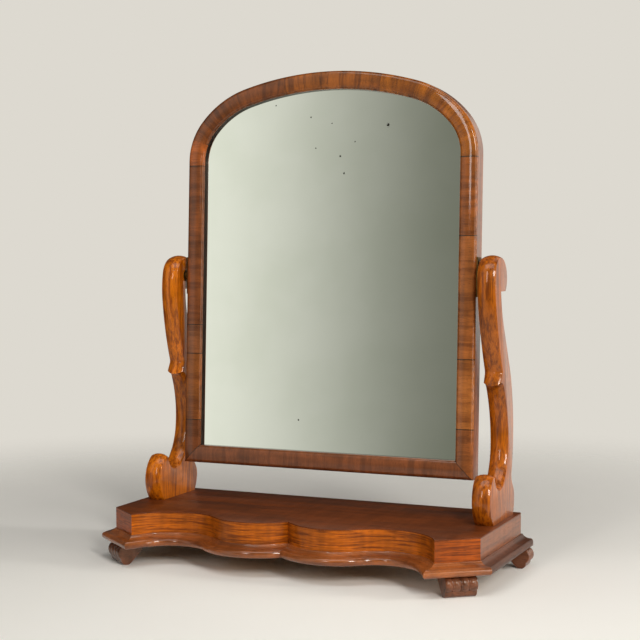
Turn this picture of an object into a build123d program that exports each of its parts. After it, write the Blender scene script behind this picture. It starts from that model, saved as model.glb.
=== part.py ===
from build123d import *
import math
import os

# Dressing mirror: an arched, cushion-moulded mirror frame that tilts between two
# scrolled supports on a low serpentine platform with four scroll feet.
# Millimetres, +Z up, the front faces -Y, right is +X as seen from the front.
# Everything is drawn with Y = 0 on the back plane of the platform, then moved so
# that the origin lies under the middle of the whole piece.

# ---------------------------------------------------------------- platform plan
BASE_W = 600.0            # width across the frieze
CANT_IN = 53.7            # front corners, in from the side
CORNER_D = 246.0          # front corners, from the back plane
SIDE_CORNER_D = 204.6     # where the cant meets the side, from the back plane
BULGE_X = 68.0            # crown of each front bulge, from the middle
BULGE_D = 235.7           # crown of each front bulge, from the back plane
BULGE_IN_R = 88.0         # bulge radius towards the middle cusp
BULGE_OUT_R = 72.0        # bulge radius towards the hollow
HOLLOW_X = 169.0          # bottom of each hollow, from the middle
HOLLOW_D = 197.0          # bottom of each hollow, from the back plane
HOLLOW_TURN = 60.0        # degrees that the hollow turns before its straight tail
BACK_R = 5.0              # rounding of the rear corners

# -------------------------------------------------------------- platform heights
FOOT_H = 30.0
MOULD_H = 18.0
FRIEZE_H = 31.0
VENEER = 1.5
TOP_T = 10.0

# ------------------------------------------------------------- platform moulding
NOSE_R = 6.0              # half round nose
NOSE_OUT = 20.4           # tip of the nose, out from the frieze
QUIRK_OUT = 2.2           # small upper member, out from the frieze
QUIRK_H = 1.5
QUIRK_MID = (2.0, 1.0)    # middle of its round, out from the frieze and up
QUIRK_TOP = 0.9           # top of its round, out from the frieze
COVE_SAG = 1.6            # hollow of the cove below its chord
MOULD_END_R = 9.0         # rounding of the rear ends

# -------------------------------------------------------------- platform carcase
FRONT_BLOCK_BACK = 172.0  # back of the front blocks, from the back plane
FRONT_BLOCK_IN = 78.0     # joint between front block and corner block, in from the side
SIDE_RAIL_T = 24.0
BACK_RAIL_T = 15.0
GLUE_BLOCK = 20.0
GLUE_BLOCK_X = 100.0      # middle glue blocks, from the middle

# -------------------------------------------------------------------------- feet
FOOT_W = 47.0             # front foot, across
FOOT_D = 39.0             # front foot, front to back
FOOT_IN = 27.0            # middle of the front foot, in from the side
FOOT_Y = 224.0
REAR_FOOT_W = 27.0
REAR_FOOT_IN = 1.5        # rear foot, in from the back plane
ROLL_R = 11.5
TOE_R = 9.0
TOE_FLAT = 0.4            # height cut off the round of the toe
TOE_BACK = 3.0            # toe centre behind roll centre
HEEL_Z = 20.0
REEDS = 4
REED_SAG = 1.1
RIDGE_W = 1.8
RIDGE_H = 0.8

# ---------------------------------------------------------------------- supports
SUPPORT_T = 28.0
SUPPORT_IN = 22.5         # middle of the support, in from the side of the platform
LEAN = 1.31               # degrees that each support leans in
SIDE_GAP = 8.2            # frame to support, at the pivot
CUSHION = 4.0             # rise of the rounded front edge between its two arrises
NOSE_LAP = 2.0
HEAD_R = 33.0
HEAD_FROM = -80.0         # rear end of the head round, degrees from level
HEAD_TURN = 250.0
BROW_R = 140.0
BROW_TURN = 18.0
CHIN_R = 460.0
CHIN_TURN = 13.2
NECK_R = 4.0
NECK_TURN = 47.7
FLARE_RUN = 13.7          # flare of the lip, down to its arris
LIP_SLOPE = 32.0          # degrees that the underside of the lip falls to the front
LIP_D = 59.9              # start of the hollow under the lip, from the back plane
LIP_UP = 200.0            # start of the hollow, above the platform top
LIP_HEADING = 331.1
LIP_STEPS = ((-14.4, 35.8), (-159.8, 31.6), (-81.9, 42.1), (-21.8, 116.2), (0.0, 2.0),
             (8.0, 106.3), (39.9, 23.6), (49.8, 81.4))
HOOK_DROP = 21.5          # flat under the rear hook, below the pivot
HOOK_BACK = 2.4           # top of the rear edge, in front of the pivot
REAR_HEADING = 271.1
REAR_STEPS = ((153.8, 21.2), (0.0, 63.6), (-154.8, 11.6), (-253.7, 29.9), (20.3, 63.0),
              (-25.5, 52.3), (-76.1, 17.5))

# ------------------------------------------------------------------ mirror frame
PIVOT_D = 53.5            # pivot axis, from the back plane
PIVOT_H = 362.0           # pivot axis, above the platform top
PIVOT_B = 305.0           # pivot axis, above the bottom edge of the frame
TILT = 2.8                # degrees that the frame leans back at rest
FRAME_H = 626.0
FRAME_W = 28.5            # face of the moulding
FRAME_T = 30.0
CROWN_R = 50.0            # cushion across the face
EDGE_R = 6.0              # rounding of its two edges
ARCH_R = (517.0, 158.0, 98.3)    # crown, haunch and shoulder radii of the arch
HAUNCH_TO = 50.6          # degrees from the crown where the haunch ends
GLASS_IN = 12.0           # face of the glass, behind the front of the frame
GLASS_T = 4.0
GLASS_REBATE = 6.0
GLASS_PLAY = 1.0
BOARD_IN = 23.0           # seat of the backboard, behind the front of the frame
BOARD_T = 6.0
BOARD_REBATE = 14.5
BOARD_PLAY = 0.5
LEFT_JOINTS = (70.0, 178.0, 225.0)
RIGHT_JOINTS = (76.0, 181.0, 367.0)
SHOULDER_JOINT = 22.0     # left shoulder joint, degrees above level
CROWN_JOINTS = (-78.0, 92.0)
STUB = 5.5                # right arch joint, below the springing
GLAZING_BLOCK = (40.0, 5.0)

# --------------------------------------------------------- pivots, screws, pins
PLATE_L = 60.0
PLATE_W = 18.0
PLATE_T = 2.0
COLLAR_R = 7.0
PIN_R = 4.0
PIN_IN = 11.0             # pin, into the cheek of the support
RUN_FIT = 0.05
FLANGE_R = 9.5
FLANGE_T = 3.0
FLANGE_PROUD = 1.0
BARREL_R = 6.0
BARREL_L = 12.0
PIVOT_GAP = 0.3
FIT = 0.1
PLATE_SCREW = (3.0, 5.4, 1.6, 16.0)     # shank, head across, head height, length
PLATE_SCREW_Z = 22.0
SUPPORT_SCREW = (5.0, 9.5, 3.0, 66.0)
SUPPORT_SCREW_HEAD = 41.0               # underside of its head, above the floor
SUPPORT_SCREW_D = (104.0, 42.0)
FOOT_SCREW = (4.5, 8.6, 2.6, 28.0)
FOOT_SCREW_HEAD = 47.0
FOOT_SCREW_BACK = 9.0      # front foot screw, behind the middle of its foot
BOARD_PIN = (1.6, 3.2, 0.6, 12.0)
BOARD_PIN_PITCH = 95.0
BIG = 1500.0

# ---------------------------------------------------------------- derived sizes
HALF = BASE_W / 2
CORNER_HALF = HALF - CANT_IN
FRONT_BLOCK_HALF = HALF - FRONT_BLOCK_IN
FOOT_X = HALF - FOOT_IN
SUPPORT_X = HALF - SUPPORT_IN
lean = math.radians(LEAN)
CHEEK = SUPPORT_X - PIVOT_H * math.tan(lean) - SUPPORT_T / 2 / math.cos(lean)
FRAME_HALF = CHEEK - SIDE_GAP
Z_MOULD = FOOT_H
Z_FRIEZE = Z_MOULD + MOULD_H
Z_VENEER = Z_FRIEZE + FRIEZE_H
Z_TOP = Z_VENEER + VENEER
Z_BOARD = Z_VENEER - TOP_T
PIVOT_Z = Z_TOP + PIVOT_H


def at(centre, radius, degrees):
    a = math.radians(degrees)
    return (centre[0] + radius * math.cos(a), centre[1] + radius * math.sin(a))


def line2(p, q):
    return Edge.make_line((p[0], p[1], 0), (q[0], q[1], 0))


def arc2(p, m, q):
    return Edge.make_three_point_arc((p[0], p[1], 0), (m[0], m[1], 0), (q[0], q[1], 0))


def swing(centre, radius, first, last):
    return arc2(at(centre, radius, first), at(centre, radius, (first + last) / 2),
                at(centre, radius, last))


def area(edges):
    return Face(Wire(edges))


def polygon(points):
    return area([line2(p, q) for p, q in zip(points, points[1:] + points[:1])])


def raised(face, low, high):
    return extrude(Pos(0, 0, low) * face, amount=high - low, dir=(0, 0, 1))


def block(x0, x1, y0, y1, z0, z1):
    centre = Pos((x0 + x1) / 2, (y0 + y1) / 2, (z0 + z1) / 2)
    return centre * Box(abs(x1 - x0), abs(y1 - y0), abs(z1 - z0))


def beyond(point, normal):
    """Everything on the far side of a plane."""
    return Plane(origin=point, z_dir=normal) * Pos(0, 0, BIG / 2) * Box(BIG, BIG, BIG)


def flip(shape):
    return mirror(shape, about=Plane.YZ)


def fused(shapes):
    total = shapes[0]
    for shape in shapes[1:]:
        total = total + shape
    return total


# ------------------------------------------------------------------ plan curves
reach = HOLLOW_X - BULGE_X
fall = BULGE_D - HOLLOW_D
RADII_SUM = (reach ** 2 + fall ** 2) / (2 * fall)
HOLLOW_IN_R = RADII_SUM - BULGE_OUT_R
tail_x = CORNER_HALF - HOLLOW_X
tail_d = CORNER_D - HOLLOW_D
turn = math.radians(HOLLOW_TURN)
HOLLOW_OUT_R = (tail_x * math.tan(turn) - tail_d) / (1 / math.cos(turn) - 1)
C_BULGE_IN = (BULGE_X, BULGE_IN_R - BULGE_D)
C_BULGE_OUT = (BULGE_X, BULGE_OUT_R - BULGE_D)
C_HOLLOW_IN = (HOLLOW_X, -HOLLOW_D - HOLLOW_IN_R)
C_HOLLOW_OUT = (HOLLOW_X, -HOLLOW_D - HOLLOW_OUT_R)
FLEX = math.degrees(math.atan2(C_HOLLOW_IN[1] - C_BULGE_OUT[1], reach))
CORNER = (CORNER_HALF, -CORNER_D)
SIDE_CORNER = (HALF, -SIDE_CORNER_D)
cant_x = HALF - CORNER_HALF
cant_d = CORNER_D - SIDE_CORNER_D
cant_l = math.hypot(cant_x, cant_d)
CANT_DIR = (cant_x / cant_l, cant_d / cant_l)
CANT_OUT = (CANT_DIR[1], -CANT_DIR[0])
TAIL_DIR = (math.cos(turn), -math.sin(turn))
TAIL_OUT = (-math.sin(turn), -math.cos(turn))
SIDE_OUT = (1.0, 0.0)


def meet(corner, out_a, out_b, off):
    """The corner moved so that both faces beside it lie off further out."""
    det = out_a[0] * out_b[1] - out_a[1] * out_b[0]
    x = off * (out_b[1] - out_a[1]) / det
    y = off * (out_a[0] - out_b[0]) / det
    return (corner[0] + x, corner[1] + y)


def front_arcs(off):
    """Centre, radius and angles of the four arcs from the cusp to the tail."""
    first = BULGE_IN_R + off
    cusp = -180 + math.degrees(math.acos(BULGE_X / first))
    return [(C_BULGE_IN, first, cusp, -90.0),
            (C_BULGE_OUT, BULGE_OUT_R + off, -90.0, FLEX),
            (C_HOLLOW_IN, HOLLOW_IN_R - off, 180 + FLEX, 90.0),
            (C_HOLLOW_OUT, HOLLOW_OUT_R - off, 90.0, 90 - HOLLOW_TURN)]


def plan_half(off, square=False):
    """Right half of the plan, with its face off outside the frieze."""
    edges = [swing(*a) for a in front_arcs(off)]
    tail = at(C_HOLLOW_OUT, HOLLOW_OUT_R - off, 90 - HOLLOW_TURN)
    corner = meet(CORNER, TAIL_OUT, CANT_OUT, off)
    side = meet(SIDE_CORNER, CANT_OUT, SIDE_OUT, off)
    cusp = at(*front_arcs(off)[0][:3])
    edges += [line2(tail, corner), line2(corner, side)]
    if square:
        rear = (HALF + off, 0.0)
        edges += [line2(side, rear), line2(rear, (0.0, 0.0))]
    else:
        centre = (HALF - BACK_R, -BACK_R)
        edges += [line2(side, (HALF + off, -BACK_R)), swing(centre, BACK_R + off, 0.0, 90.0)]
        last = (centre[0], off)
        if off:
            edges.append(line2(last, (centre[0], 0.0)))
        edges.append(line2((centre[0], 0.0), (0.0, 0.0)))
    edges.append(line2((0.0, 0.0), cusp))
    return area(edges)


NOSE_CORNER = meet(CORNER, TAIL_OUT, CANT_OUT, NOSE_OUT)
DEPTH = -NOSE_CORNER[1]

nodes = {}


def pair(name, right):
    """Keep a right-hand piece and its mirror image."""
    nodes[name + "_right"] = right
    nodes[name + "_left"] = flip(right)


# --------------------------------------------------------------- screws and pins
def screw(size, grow=0.0, over=0.0):
    """Pointing along +Z with the underside of its head at 0."""
    shank, head, head_h, length = size
    body = Pos(0, 0, length / 2) * Cylinder(shank / 2 + grow, length + (1.0 if grow else 0.0))
    cap_h = head_h + over
    return body + Pos(0, 0, -cap_h / 2) * Cylinder(head / 2 + grow, cap_h)


# ------------------------------------------------------------ platform: carcase
top_half = raised(plan_half(-VENEER), Z_BOARD, Z_VENEER)
top_board = top_half + flip(top_half)
skin_half = raised(plan_half(0.0), Z_VENEER, Z_TOP)
top_veneer = skin_half + flip(skin_half)

core = raised(plan_half(-VENEER), FOOT_H, Z_BOARD)
front_block = core & block(0, FRONT_BLOCK_HALF, -DEPTH, -FRONT_BLOCK_BACK, 0, Z_TOP)
corner_block = core & block(FRONT_BLOCK_HALF, BASE_W, -DEPTH, -FRONT_BLOCK_BACK, 0, Z_TOP)
rail_in = HALF - VENEER - SIDE_RAIL_T
side_rail = core & block(rail_in, BASE_W, -FRONT_BLOCK_BACK, 0, 0, Z_TOP)
nodes["back_rail"] = block(-rail_in, rail_in, -BACK_RAIL_T, 0, FOOT_H, Z_BOARD)

band = raised(plan_half(0.0), Z_FRIEZE, Z_VENEER) - raised(plan_half(-VENEER), 0, Z_TOP)
mitre_dir = (NOSE_CORNER[0] - CORNER[0], NOSE_CORNER[1] - CORNER[1])
mitre_side = (-mitre_dir[1], mitre_dir[0])
side_nose = meet(SIDE_CORNER, CANT_OUT, SIDE_OUT, NOSE_OUT)
side_mitre_dir = (side_nose[0] - SIDE_CORNER[0], side_nose[1] - SIDE_CORNER[1])
side_mitre = (-side_mitre_dir[1], side_mitre_dir[0])
past_corner = beyond((*CORNER, 0), (*mitre_side, 0))
past_side = beyond((*SIDE_CORNER, 0), (*side_mitre, 0))
pair("frieze_veneer", band - past_corner - past_side)
pair("cant_veneer", (band & past_corner) - past_side)
pair("side_veneer", band & past_side & block(0, BASE_W, -SIDE_CORNER_D, 0, 0, Z_TOP))


# ----------------------------------------------------------- platform: moulding
def mould_section(base=0.0, sign=1.0):
    """Section in (radius, height) with its back on the carcase."""
    def p(out, z):
        return (base + sign * out, z)
    flat = NOSE_OUT - NOSE_R
    top = Z_MOULD + 2 * NOSE_R
    cove_top = Z_FRIEZE - QUIRK_H
    run = flat - QUIRK_OUT
    rise = cove_top - top
    chord = math.hypot(run, rise)
    mid = ((flat + QUIRK_OUT) / 2 - rise / chord * COVE_SAG,
           (top + cove_top) / 2 - run / chord * COVE_SAG)
    return area([
        line2(p(-VENEER, Z_MOULD), p(flat, Z_MOULD)),
        arc2(p(flat, Z_MOULD), p(NOSE_OUT, Z_MOULD + NOSE_R), p(flat, top)),
        arc2(p(flat, top), p(*mid), p(QUIRK_OUT, cove_top)),
        arc2(p(QUIRK_OUT, cove_top), p(QUIRK_MID[0], cove_top + QUIRK_MID[1]),
             p(QUIRK_TOP, Z_FRIEZE)),
        line2(p(QUIRK_TOP, Z_FRIEZE), p(-VENEER, Z_FRIEZE)),
        line2(p(-VENEER, Z_FRIEZE), p(-VENEER, Z_MOULD))])


def mould_arc(centre, radius, sign, first, last):
    a = math.radians(first)
    plane = Plane(origin=(*centre, 0), x_dir=(math.cos(a), math.sin(a), 0),
                  z_dir=(math.sin(a), -math.cos(a), 0))
    way = 1 if last > first else -1
    axis = Axis((*centre, 0), (0, 0, way))
    return revolve(plane * mould_section(radius, sign), axis=axis, revolution_arc=abs(last - first))


def mould_run(start, out, direction, length):
    plane = Plane(origin=(*start, 0), x_dir=(*out, 0), z_dir=(out[1], -out[0], 0))
    return extrude(plane * mould_section(), amount=length, dir=(*direction, 0))


lead = 4.0                # degrees past the cusp, cut back to the middle joint
arcs = front_arcs(0.0)
inner_cusp = front_arcs(-VENEER)[0][2]
tail_start = at(*arcs[3][:2], arcs[3][3])
tail_l = math.hypot(CORNER[0] - tail_start[0], CORNER[1] - tail_start[1])
mould_front = fused([
    mould_arc(C_BULGE_IN, BULGE_IN_R, 1.0, inner_cusp - lead, -90.0),
    mould_arc(C_BULGE_OUT, BULGE_OUT_R, 1.0, -90.0, FLEX),
    mould_arc(C_HOLLOW_IN, HOLLOW_IN_R, -1.0, 180 + FLEX, 90.0),
    mould_arc(C_HOLLOW_OUT, HOLLOW_OUT_R, -1.0, 90.0, 90 - HOLLOW_TURN),
    mould_run(tail_start, TAIL_OUT, TAIL_DIR, tail_l + 2 * NOSE_OUT)])
mould_front = mould_front - beyond((0, 0, 0), (-1, 0, 0)) - past_corner
cant_start = (CORNER[0] - 2 * NOSE_OUT * CANT_DIR[0], CORNER[1] - 2 * NOSE_OUT * CANT_DIR[1])
mould_cant = mould_run(cant_start, CANT_OUT, CANT_DIR, cant_l + 4 * NOSE_OUT)
mould_cant = (mould_cant & past_corner) - past_side
side_start = (HALF, -SIDE_CORNER_D - 2 * NOSE_OUT)
mould_side = mould_run(side_start, SIDE_OUT, (0, 1), SIDE_CORNER_D + 2 * NOSE_OUT) & past_side
tip = HALF + NOSE_OUT
end_block = block(tip - MOULD_END_R, tip + 1, -MOULD_END_R, 1, 0, Z_TOP)
end_block -= Pos(tip - MOULD_END_R, -MOULD_END_R, Z_TOP / 2) * Cylinder(MOULD_END_R, Z_TOP)
pair("base_moulding_front", mould_front)
pair("base_moulding_cant", mould_cant)
pair("base_moulding_side", mould_side - end_block - core)


# -------------------------------------------------------------------------- feet
def scroll_foot(width, depth):
    """Scroll foot facing +X, its sole on the floor, centred on the origin."""
    roll = (depth / 2 - ROLL_R, FOOT_H - ROLL_R)
    toe = (roll[0] - TOE_BACK, TOE_R - TOE_FLAT)
    heel = (-depth / 2, HEEL_Z)
    far = math.hypot(toe[0] - heel[0], heel[1] - toe[1])
    line_a = math.degrees(math.atan2(heel[1] - toe[1], heel[0] - toe[0]))
    touch = at(toe, TOE_R, line_a + math.degrees(math.acos(TOE_R / far)))
    web = polygon([heel, touch, toe, roll, (roll[0], FOOT_H), (-depth / 2, FOOT_H)])
    body = fused([extrude(Plane.XZ * web, amount=width / 2, both=True),
                  Pos(toe[0], 0, toe[1]) * Rot(90, 0, 0) * Cylinder(TOE_R, width)])
    body = body & block(-depth, depth, -width, width, 0, FOOT_H)
    reed_w = (width - (REEDS - 1) * RIDGE_W) / REEDS
    edges = []
    y = -width / 2
    low = ROLL_R - REED_SAG
    edges.append(line2((0, y), (low, y)))
    for i in range(REEDS):
        edges.append(arc2((low, y), (ROLL_R, y + reed_w / 2), (low, y + reed_w)))
        y += reed_w
        if i < REEDS - 1:
            edges.append(arc2((low, y), (low + RIDGE_H, y + RIDGE_W / 2), (low, y + RIDGE_W)))
            y += RIDGE_W
    edges += [line2((low, y), (0, y)), line2((0, y), (0, -y))]
    drum = revolve(area(edges), axis=Axis.Y)
    return body + Pos(roll[0], 0, roll[1]) * drum


def upright(x, y, z, size, grow=0.0, over=0.0, down=False):
    body = screw(size, grow, over)
    if down:
        body = Rot(180, 0, 0) * body
    return Pos(x, y, z) * body


cant_angle = math.degrees(math.atan2(CANT_OUT[1], CANT_OUT[0]))
front_foot = Pos(FOOT_X, -FOOT_Y, 0) * Rot(0, 0, cant_angle) * scroll_foot(FOOT_W, FOOT_D)
rear_foot_x = HALF + NOSE_OUT - FOOT_D / 2
rear_foot_y = -REAR_FOOT_IN - REAR_FOOT_W / 2
rear_foot = Pos(rear_foot_x, rear_foot_y, 0) * scroll_foot(REAR_FOOT_W, FOOT_D)
rear_screw_x = (HALF - VENEER + HALF + NOSE_OUT - FOOT_D) / 2
foot_spots = [(FOOT_X - FOOT_SCREW_BACK * CANT_OUT[0], -FOOT_Y - FOOT_SCREW_BACK * CANT_OUT[1]),
              (rear_screw_x, rear_foot_y)]
foot_cut = [upright(x, y, FOOT_SCREW_HEAD, FOOT_SCREW, FIT, Z_BOARD - FOOT_SCREW_HEAD, True)
            for x, y in foot_spots]
foot_screws = [upright(x, y, FOOT_SCREW_HEAD, FOOT_SCREW, down=True) for x, y in foot_spots]
pair("front_foot", front_foot - foot_cut[0])
pair("rear_foot", rear_foot - foot_cut[1])
nodes["foot_screws"] = foot_screws + [flip(s) for s in foot_screws]


# ---------------------------------------------------------------------- supports
def walk(start, heading, steps, shift=0.0):
    """Tangent arcs (radius, turn) and lines (0, length); a left turn is positive.
    shift carries the whole path to its left. Returns its pieces in order."""
    a = math.radians(heading)
    p = (start[0] - shift * math.sin(a), start[1] + shift * math.cos(a))
    pieces = []
    for radius, amount in steps:
        a = math.radians(heading)
        if radius == 0:
            q = (p[0] + amount * math.cos(a), p[1] + amount * math.sin(a))
            pieces.append(("line", p, q, heading, amount))
        else:
            side = 1 if radius > 0 else -1
            r = abs(radius - shift)
            c = (p[0] - side * r * math.sin(a), p[1] + side * r * math.cos(a))
            first = heading - 90 * side
            last = first + side * amount
            q = at(c, r, last)
            pieces.append(("arc", p, q, c, r, first, last, side))
            heading += side * amount
        p = q
    return pieces, heading


def path_edges(pieces):
    edges = []
    for piece in pieces:
        if piece[0] == "line":
            edges.append(line2(piece[1], piece[2]))
        else:
            edges.append(swing(*piece[3:7]))
    return edges


def nose_face(base, sign):
    """Shallow round across the thickness, its crown at base, running inward."""
    half = SUPPORT_T / 2
    rim = base + sign * CUSHION
    deep = rim + sign * NOSE_LAP
    return area([arc2((rim, -half), (base, 0), (rim, half)), line2((rim, half), (deep, half)),
                 line2((deep, half), (deep, -half)), line2((deep, -half), (rim, -half))])


def nose(pieces):
    """The rounded front edge along a path in the (Y, Z) plane, material to its left."""
    solids = []
    for piece in pieces:
        if piece[0] == "line":
            _, p, q, heading, length = piece
            a = math.radians(heading)
            inward = (0, -math.sin(a), math.cos(a))
            along = (0, math.cos(a), math.sin(a))
            plane = Plane(origin=(0, *p), x_dir=inward, z_dir=(0, -along[1], -along[2]))
            solids.append(extrude(plane * nose_face(0.0, 1.0), amount=length, dir=along))
        else:
            _, p, q, c, r, first, last, side = piece
            a = math.radians(first)
            radial = (0, math.cos(a), math.sin(a))
            plane = Plane(origin=(0, *c), x_dir=radial, z_dir=(0, math.sin(a), -math.cos(a)))
            face = plane * nose_face(r, -1.0 if side > 0 else 1.0)
            axis = Axis((0, *c), (side, 0, 0))
            solids.append(revolve(face, axis=axis, revolution_arc=abs(last - first)))
    return solids


def cheek_slab(points_edges):
    return extrude(Plane.YZ * area(points_edges), amount=SUPPORT_T / 2, both=True)


pivot = (-PIVOT_D, PIVOT_Z)
head_start = at(pivot, HEAD_R, HEAD_FROM)
head_steps = ((HEAD_R, HEAD_TURN), (BROW_R, BROW_TURN), (CHIN_R, CHIN_TURN), (-NECK_R, NECK_TURN))
head_heading = HEAD_FROM + 90
upper, _ = walk(head_start, head_heading, head_steps + ((0.0, FLARE_RUN + SUPPORT_T),))
upper_in, _ = walk(head_start, head_heading, head_steps + ((0.0, FLARE_RUN),), CUSHION)
lip_start = (-LIP_D, Z_TOP + LIP_UP)
lower, _ = walk(lip_start, LIP_HEADING, LIP_STEPS)
lower_in, _ = walk(lip_start, LIP_HEADING, LIP_STEPS, CUSHION)
rear_start = (-PIVOT_D - HOOK_BACK, PIVOT_Z - HOOK_DROP)
rear, _ = walk(rear_start, REAR_HEADING, REAR_STEPS)
hook_z = rear_start[1]
floor_z = Z_TOP - SUPPORT_T     # the blank runs on below the platform top, then is cut level

lip = upper_in[-1][2]
slope = math.radians(LIP_SLOPE)
below_lip = beyond((0, *lip), (0, math.sin(slope), -math.cos(slope)))
upper_nose = fused(nose(upper)) - below_lip
front_foot_y = lower_in[-1][2][0]
rear_foot_end = rear[-1][2]
slab = cheek_slab(path_edges(upper_in) + [line2(lip, lower_in[0][1])] + path_edges(lower_in)
                  + [line2(lower_in[-1][2], (front_foot_y, floor_z)),
                     line2((front_foot_y, floor_z), (rear_foot_end[0], floor_z)),
                     line2((rear_foot_end[0], floor_z), rear_foot_end)]
                  + path_edges(rear)
                  + [line2(rear_start, (upper_in[0][1][0], hook_z)),
                     line2((upper_in[0][1][0], hook_z), upper_in[0][1])])
support = fused([slab, upper_nose, fused(nose(lower))])
rear_room = area(path_edges(rear) + [line2(rear_foot_end, (BIG, rear_foot_end[1])),
                                     line2((BIG, rear_foot_end[1]), (BIG, hook_z)),
                                     line2((BIG, hook_z), rear_start)])
support = support - extrude(Plane.YZ * rear_room, amount=SUPPORT_T, both=True)
support = Pos(SUPPORT_X, 0, Z_TOP) * Rot(0, -LEAN, 0) * Pos(0, 0, -Z_TOP) * support
support = support - beyond((0, 0, Z_TOP), (0, 0, -1))

# ------------------------------------------------------- pivots between the two
def rod(x0, x1, radius):
    return Pos((x0 + x1) / 2, -PIVOT_D, PIVOT_Z) * Rot(0, 90, 0) * Cylinder(radius, x1 - x0)


flange_face = CHEEK - FLANGE_PROUD
flange_back = flange_face + FLANGE_T
socket = rod(flange_face, flange_back, FLANGE_R) + rod(flange_back, flange_back + BARREL_L, BARREL_R)
socket -= rod(flange_face, flange_back + BARREL_L - PLATE_T, PIN_R + RUN_FIT)
socket_cut = rod(flange_face - FLANGE_R, flange_back, FLANGE_R + FIT)
socket_cut += rod(flange_face, flange_back + BARREL_L + FIT, BARREL_R + FIT)
support = support - socket_cut
pair("pivot_socket", socket)

screw_x = (rail_in + SUPPORT_X + SUPPORT_T / 2) / 2
support_spots = [(screw_x, -d) for d in SUPPORT_SCREW_D]
reach_down = SUPPORT_SCREW_HEAD - FOOT_H
support_cut = fused([upright(x, y, SUPPORT_SCREW_HEAD, SUPPORT_SCREW, FIT, reach_down)
                     for x, y in support_spots])
support_screws = [upright(x, y, SUPPORT_SCREW_HEAD, SUPPORT_SCREW) for x, y in support_spots]
nodes["support_screws"] = support_screws + [flip(s) for s in support_screws]
pair("support", support - support_cut)
both_cuts = support_cut + flip(support_cut)
nodes["top_board"] = top_board - both_cuts
nodes["top_veneer"] = top_veneer - both_cuts
pair("side_rail", side_rail - support_cut - foot_cut[1])
pair("corner_block", corner_block - foot_cut[0])
pair("front_block", front_block)
glue = []
for x0, y0 in ((rail_in - GLUE_BLOCK, -FRONT_BLOCK_BACK),
               (rail_in - GLUE_BLOCK, -BACK_RAIL_T - GLUE_BLOCK),
               (GLUE_BLOCK_X, -FRONT_BLOCK_BACK),
               (GLUE_BLOCK_X, -BACK_RAIL_T - GLUE_BLOCK)):
    glue.append(block(x0, x0 + GLUE_BLOCK, y0, y0 + GLUE_BLOCK, FOOT_H + 1, Z_BOARD))
nodes["glue_blocks"] = glue + [flip(g) for g in glue]

# ------------------------------------------------------------------ mirror frame
FRONT = -FRAME_T / 2
edge_w = FRONT + CROWN_R - math.sqrt((CROWN_R - EDGE_R) ** 2 - (FRAME_W / 2 - EDGE_R) ** 2)
glass_w = FRONT + GLASS_IN
board_w = FRONT + BOARD_IN


def cushion(inset, back=False):
    """Edges of the rounded face from the outer side to the sight edge."""
    crown = (FRAME_W / 2, FRONT + CROWN_R)
    outer = (EDGE_R, edge_w)
    inner = (FRAME_W - EDGE_R, edge_w)
    a = math.degrees(math.atan2(outer[1] - crown[1], outer[0] - crown[0]))
    b = -180 - a
    arcs3 = [(outer, EDGE_R - inset, -180.0, a), (crown, CROWN_R - inset, a, b),
             (inner, EDGE_R - inset, b, 0.0)]
    if back:
        arcs3 = [(c, r, q, p) for c, r, p, q in reversed(arcs3)]
    return arcs3


def frame_section(kind, base, sign):
    """Section in (radius, thickness); the outer side is at base."""
    def p(s, w):
        return (base + sign * s, w)

    def bend(c, r, first, last):
        return arc2(p(*at(c, r, first)), p(*at(c, r, (first + last) / 2)), p(*at(c, r, last)))
    if kind == "veneer":
        edges = [bend(*a) for a in cushion(0.0)]
        edges.append(line2(p(FRAME_W, edge_w), p(FRAME_W - VENEER, edge_w)))
        edges += [bend(*a) for a in cushion(VENEER, True)]
        edges.append(line2(p(VENEER, edge_w), p(0, edge_w)))
        return area(edges)
    rebate = FRAME_W - GLASS_REBATE
    seat = FRAME_W - BOARD_REBATE
    back = -FRONT
    corners = [(FRAME_W - VENEER, edge_w), (FRAME_W, edge_w), (FRAME_W, glass_w), (rebate, glass_w),
               (rebate, board_w), (seat, board_w), (seat, back), (0, back), (0, edge_w),
               (VENEER, edge_w)]
    edges = [bend(*a) for a in cushion(VENEER)]
    edges += [line2(p(*a), p(*b)) for a, b in zip(corners, corners[1:])]
    return area(edges)


def arch_arcs():
    """Centre (x, z), outer radius and angles from the crown to the springing."""
    crown, haunch, shoulder = ARCH_R
    across = FRAME_HALF - shoulder - (haunch - shoulder) * math.sin(math.radians(HAUNCH_TO))
    crown_to = math.degrees(math.asin(across / (crown - haunch)))
    centre = (0.0, FRAME_H - crown)
    arcs3 = [(centre, crown, 0.0, crown_to)]
    for radius, wider, first, last in ((haunch, crown, crown_to, HAUNCH_TO),
                                       (shoulder, haunch, HAUNCH_TO, 90.0)):
        a = math.radians(first)
        shift = wider - radius
        centre = (centre[0] + shift * math.sin(a), centre[1] + shift * math.cos(a))
        arcs3.append((centre, radius, first, last))
    return arcs3


ARCH = arch_arcs()
SPRING = ARCH[-1][0][1]


def arch_piece(kind):
    solids = []
    for centre, radius, first, last in ARCH:
        a = math.radians(first)
        plane = Plane(origin=(centre[0], 0, centre[1]), x_dir=(math.sin(a), 0, math.cos(a)),
                      z_dir=(-math.cos(a), 0, math.sin(a)))
        axis = Axis((centre[0], 0, centre[1]), (0, 1, 0))
        face = plane * frame_section(kind, radius, -1.0)
        solids.append(revolve(face, axis=axis, revolution_arc=last - first))
    return fused(solids)


def stile_piece(kind):
    plane = Plane(origin=(FRAME_HALF, 0, SPRING), x_dir=(1, 0, 0), z_dir=(0, 0, 1))
    solid = extrude(plane * frame_section(kind, 0.0, -1.0), amount=SPRING, dir=(0, 0, -1))
    return solid - beyond((FRAME_HALF, 0, 0), (-1, 0, -1))


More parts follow.
